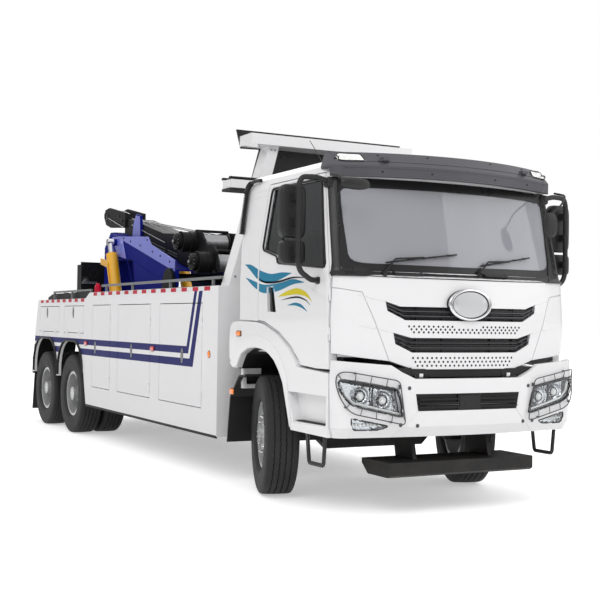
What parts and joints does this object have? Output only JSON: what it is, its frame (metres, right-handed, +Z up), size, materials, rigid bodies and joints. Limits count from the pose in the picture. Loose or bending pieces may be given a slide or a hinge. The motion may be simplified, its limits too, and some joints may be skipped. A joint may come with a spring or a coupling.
{
  "type": "tow truck",
  "caption": "Heavy road wrecker with a white tilting cab, side lockers with blue stripes, a blue luffing recovery boom with winches and a folded underlift.",
  "frame": {"origin": "on the road, under the middle of the truck's overall length and width", "axes": "+X to the truck's own left, +Y to its rear, +Z up"},
  "size_m": [3.07, 9.76, 3.52],
  "materials": {
    "white_paint": "gloss",
    "blue_paint": "gloss",
    "yellow_paint": "gloss",
    "black_paint": "satin",
    "chassis_paint": "satin",
    "rim_steel": "satin",
    "tyre": "matt",
    "window_glass": "polished",
    "lamp_glass": "polished",
    "black_plastic": "matt",
    "grey_plastic": "satin",
    "seat_fabric": "woven",
    "rod_chrome": "polished",
    "winch_steel": "brushed"
  },
  "bodies": {
    "chassis": {"frame_rails": "chassis_paint", "running_gear": "chassis_paint", "bumper": "white_paint", "headlamps": "lamp_glass", "tow_beam": "black_paint", "fenders": "white_paint", "mudguards": "black_plastic", "side_lockers": "white_paint", "deck": "chassis_paint", "boom_base": "black_paint", "rear_stubs": "blue_paint", "handrails": "black_paint", "gantry_frame": "white_paint", "gantry_panel": "black_paint"},
    "cab": {"cab_shell": "white_paint", "cab_nose": "white_paint", "grille": "black_plastic", "windshield": "window_glass", "sun_visor": "grey_plastic", "cab_interior": "seat_fabric"},
    "boom": {"boom_frame": "blue_paint", "boom_box": "black_paint"},
    "boom_extension": {"inner_boom": "blue_paint"},
    "underlift": {"underlift_arm": "blue_paint", "underlift_crossbar": "black_paint"},
    "lift_cylinder_barrels": {"lift_barrels": "yellow_paint"},
    "lift_cylinder_rods": {"lift_rods": "rod_chrome"},
    "lower_winch": {"winch_drum_1": "winch_steel"},
    "upper_winch": {"winch_drum_2": "winch_steel"},
    "cab_door_left": {"cab_door_left": "white_paint", "door_glass_left": "window_glass", "mirrors_left": "black_plastic"},
    "knuckle_left": {"knuckle_left": "chassis_paint"},
    "front_wheel_left": {"front_tyre_left": "tyre", "front_rim_left": "rim_steel"},
    "mid_wheels_left": {"mid_tyres_left": "tyre", "mid_rims_left": "rim_steel"},
    "rear_wheels_left": {"rear_tyres_left": "tyre", "rear_rims_left": "rim_steel"},
    "locker_door_fore_left": {"locker_fore_left": "white_paint"},
    "locker_door_mid_left": {"locker_mid_left": "white_paint"},
    "locker_door_aft_left": {"locker_aft_left": "white_paint"},
    "locker_flap_front_left": {"flap_front_left": "white_paint"},
    "locker_flap_rear_left": {"flap_rear_left": "white_paint"},
    "cab_door_right": {"cab_door_right": "white_paint", "door_glass_right": "window_glass", "mirrors_right": "black_plastic"},
    "knuckle_right": {"knuckle_right": "chassis_paint"},
    "front_wheel_right": {"front_tyre_right": "tyre", "front_rim_right": "rim_steel"},
    "mid_wheels_right": {"mid_tyres_right": "tyre", "mid_rims_right": "rim_steel"},
    "rear_wheels_right": {"rear_tyres_right": "tyre", "rear_rims_right": "rim_steel"},
    "locker_door_fore_right": {"locker_fore_right": "white_paint"},
    "locker_door_mid_right": {"locker_mid_right": "white_paint"},
    "locker_door_aft_right": {"locker_aft_right": "white_paint"},
    "locker_flap_front_right": {"flap_front_right": "white_paint"},
    "locker_flap_rear_right": {"flap_rear_right": "white_paint"}
  },
  "joints": [
    {"name": "cab_tilt", "type": "hinge", "parent": "chassis", "child": "cab", "pos_m": [0, -4.775, 1.155], "axis": [1, 0, 0], "range_deg": [0, 50]},
    {"name": "boom_luff", "type": "hinge", "parent": "chassis", "child": "boom", "pos_m": [0, 0.88, 2.13], "axis": [1, 0, 0], "range_deg": [0, 35]},
    {"name": "boom_slide", "type": "slide", "parent": "boom", "child": "boom_extension", "axis": [0, 0.9763, 0.2164], "range_m": [0, 1.6]},
    {"name": "underlift_fold", "type": "hinge", "parent": "boom", "child": "underlift", "pos_m": [0, 4.56, 0.8], "axis": [-1, 0, 0], "range_deg": [0, 95]},
    {"name": "cylinder_swing", "type": "hinge", "parent": "chassis", "child": "lift_cylinder_barrels", "pos_m": [0, 2.53, 1.42], "axis": [1, 0, 0], "range_deg": [-1, 29]},
    {"name": "cylinder_stroke", "type": "slide", "parent": "lift_cylinder_barrels", "child": "lift_cylinder_rods", "axis": [0, 0.3887, 0.9214], "range_m": [-0.02, 1.1]},
    {"name": "lower_winch_turn", "type": "hinge", "parent": "boom", "child": "lower_winch", "pos_m": [0, 0.06, 2.29], "axis": [1, 0, 0], "continuous": true},
    {"name": "upper_winch_turn", "type": "hinge", "parent": "boom", "child": "upper_winch", "pos_m": [0, 0.59, 2.57], "axis": [1, 0, 0], "continuous": true},
    {"name": "door_left", "type": "hinge", "parent": "cab", "child": "cab_door_left", "pos_m": [1.208, -4.595, 1.65], "axis": [0, 0, -1], "range_deg": [0, 75]},
    {"name": "steer_left", "type": "hinge", "parent": "chassis", "child": "knuckle_left", "pos_m": [0.9, -3.345, 0.542], "axis": [0, 0, 1], "range_deg": [-20, 56]},
    {"name": "front_wheel_left_spin", "type": "hinge", "parent": "knuckle_left", "child": "front_wheel_left", "pos_m": [1.04028, -3.39058, 0.542], "axis": [0.9511, -0.309, 0], "continuous": true},
    {"name": "mid_wheels_left_spin", "type": "hinge", "parent": "chassis", "child": "mid_wheels_left", "pos_m": [0.915, 2.605, 0.542], "axis": [1, 0, 0], "continuous": true},
    {"name": "rear_wheels_left_spin", "type": "hinge", "parent": "chassis", "child": "rear_wheels_left", "pos_m": [0.915, 3.955, 0.542], "axis": [1, 0, 0], "continuous": true},
    {"name": "locker_fore_left_swing", "type": "hinge", "parent": "chassis", "child": "locker_door_fore_left", "pos_m": [1.259, -2.056, 1.225], "axis": [0, 0, -1], "range_deg": [0, 100]},
    {"name": "locker_mid_left_swing", "type": "hinge", "parent": "chassis", "child": "locker_door_mid_left", "pos_m": [1.259, -0.556, 1.225], "axis": [0, 0, -1], "range_deg": [0, 100]},
    {"name": "locker_aft_left_swing", "type": "hinge", "parent": "chassis", "child": "locker_door_aft_left", "pos_m": [1.259, 0.879, 1.225], "axis": [0, 0, -1], "range_deg": [0, 100]},
    {"name": "flap_front_left_swing", "type": "hinge", "parent": "chassis", "child": "locker_flap_front_left", "pos_m": [1.259, 2.465, 1.384], "axis": [0, 1, 0], "range_deg": [0, 95]},
    {"name": "flap_rear_left_swing", "type": "hinge", "parent": "chassis", "child": "locker_flap_rear_left", "pos_m": [1.259, 3.71, 1.384], "axis": [0, 1, 0], "range_deg": [0, 95]},
    {"name": "door_right", "type": "hinge", "parent": "cab", "child": "cab_door_right", "pos_m": [-1.208, -4.595, 1.65], "axis": [0, 0, 1], "range_deg": [0, 75]},
    {"name": "steer_right", "type": "hinge", "parent": "chassis", "child": "knuckle_right", "pos_m": [-0.9, -3.345, 0.542], "axis": [0, 0, 1], "range_deg": [-20, 56]},
    {"name": "front_wheel_right_spin", "type": "hinge", "parent": "knuckle_right", "child": "front_wheel_right", "pos_m": [-1.04028, -3.29942, 0.542], "axis": [0.9511, -0.309, 0], "continuous": true},
    {"name": "mid_wheels_right_spin", "type": "hinge", "parent": "chassis", "child": "mid_wheels_right", "pos_m": [-0.915, 2.605, 0.542], "axis": [1, 0, 0], "continuous": true},
    {"name": "rear_wheels_right_spin", "type": "hinge", "parent": "chassis", "child": "rear_wheels_right", "pos_m": [-0.915, 3.955, 0.542], "axis": [1, 0, 0], "continuous": true},
    {"name": "locker_fore_right_swing", "type": "hinge", "parent": "chassis", "child": "locker_door_fore_right", "pos_m": [-1.259, -2.056, 1.225], "axis": [0, 0, 1], "range_deg": [0, 100]},
    {"name": "locker_mid_right_swing", "type": "hinge", "parent": "chassis", "child": "locker_door_mid_right", "pos_m": [-1.259, -0.556, 1.225], "axis": [0, 0, 1], "range_deg": [0, 100]},
    {"name": "locker_aft_right_swing", "type": "hinge", "parent": "chassis", "child": "locker_door_aft_right", "pos_m": [-1.259, 0.879, 1.225], "axis": [0, 0, 1], "range_deg": [0, 100]},
    {"name": "flap_front_right_swing", "type": "hinge", "parent": "chassis", "child": "locker_flap_front_right", "pos_m": [-1.259, 2.465, 1.384], "axis": [0, -1, 0], "range_deg": [0, 95]},
    {"name": "flap_rear_right_swing", "type": "hinge", "parent": "chassis", "child": "locker_flap_rear_right", "pos_m": [-1.259, 3.71, 1.384], "axis": [0, -1, 0], "range_deg": [0, 95]}
  ],
  "couplings": [
    {"joint": "cylinder_swing", "follows": "boom_luff", "ratio": 0.77643},
    {"joint": "cylinder_stroke", "follows": "boom_luff", "m_per_rad": 1.72},
    {"joint": "steer_right", "follows": "steer_left", "ratio": 1}
  ]
}
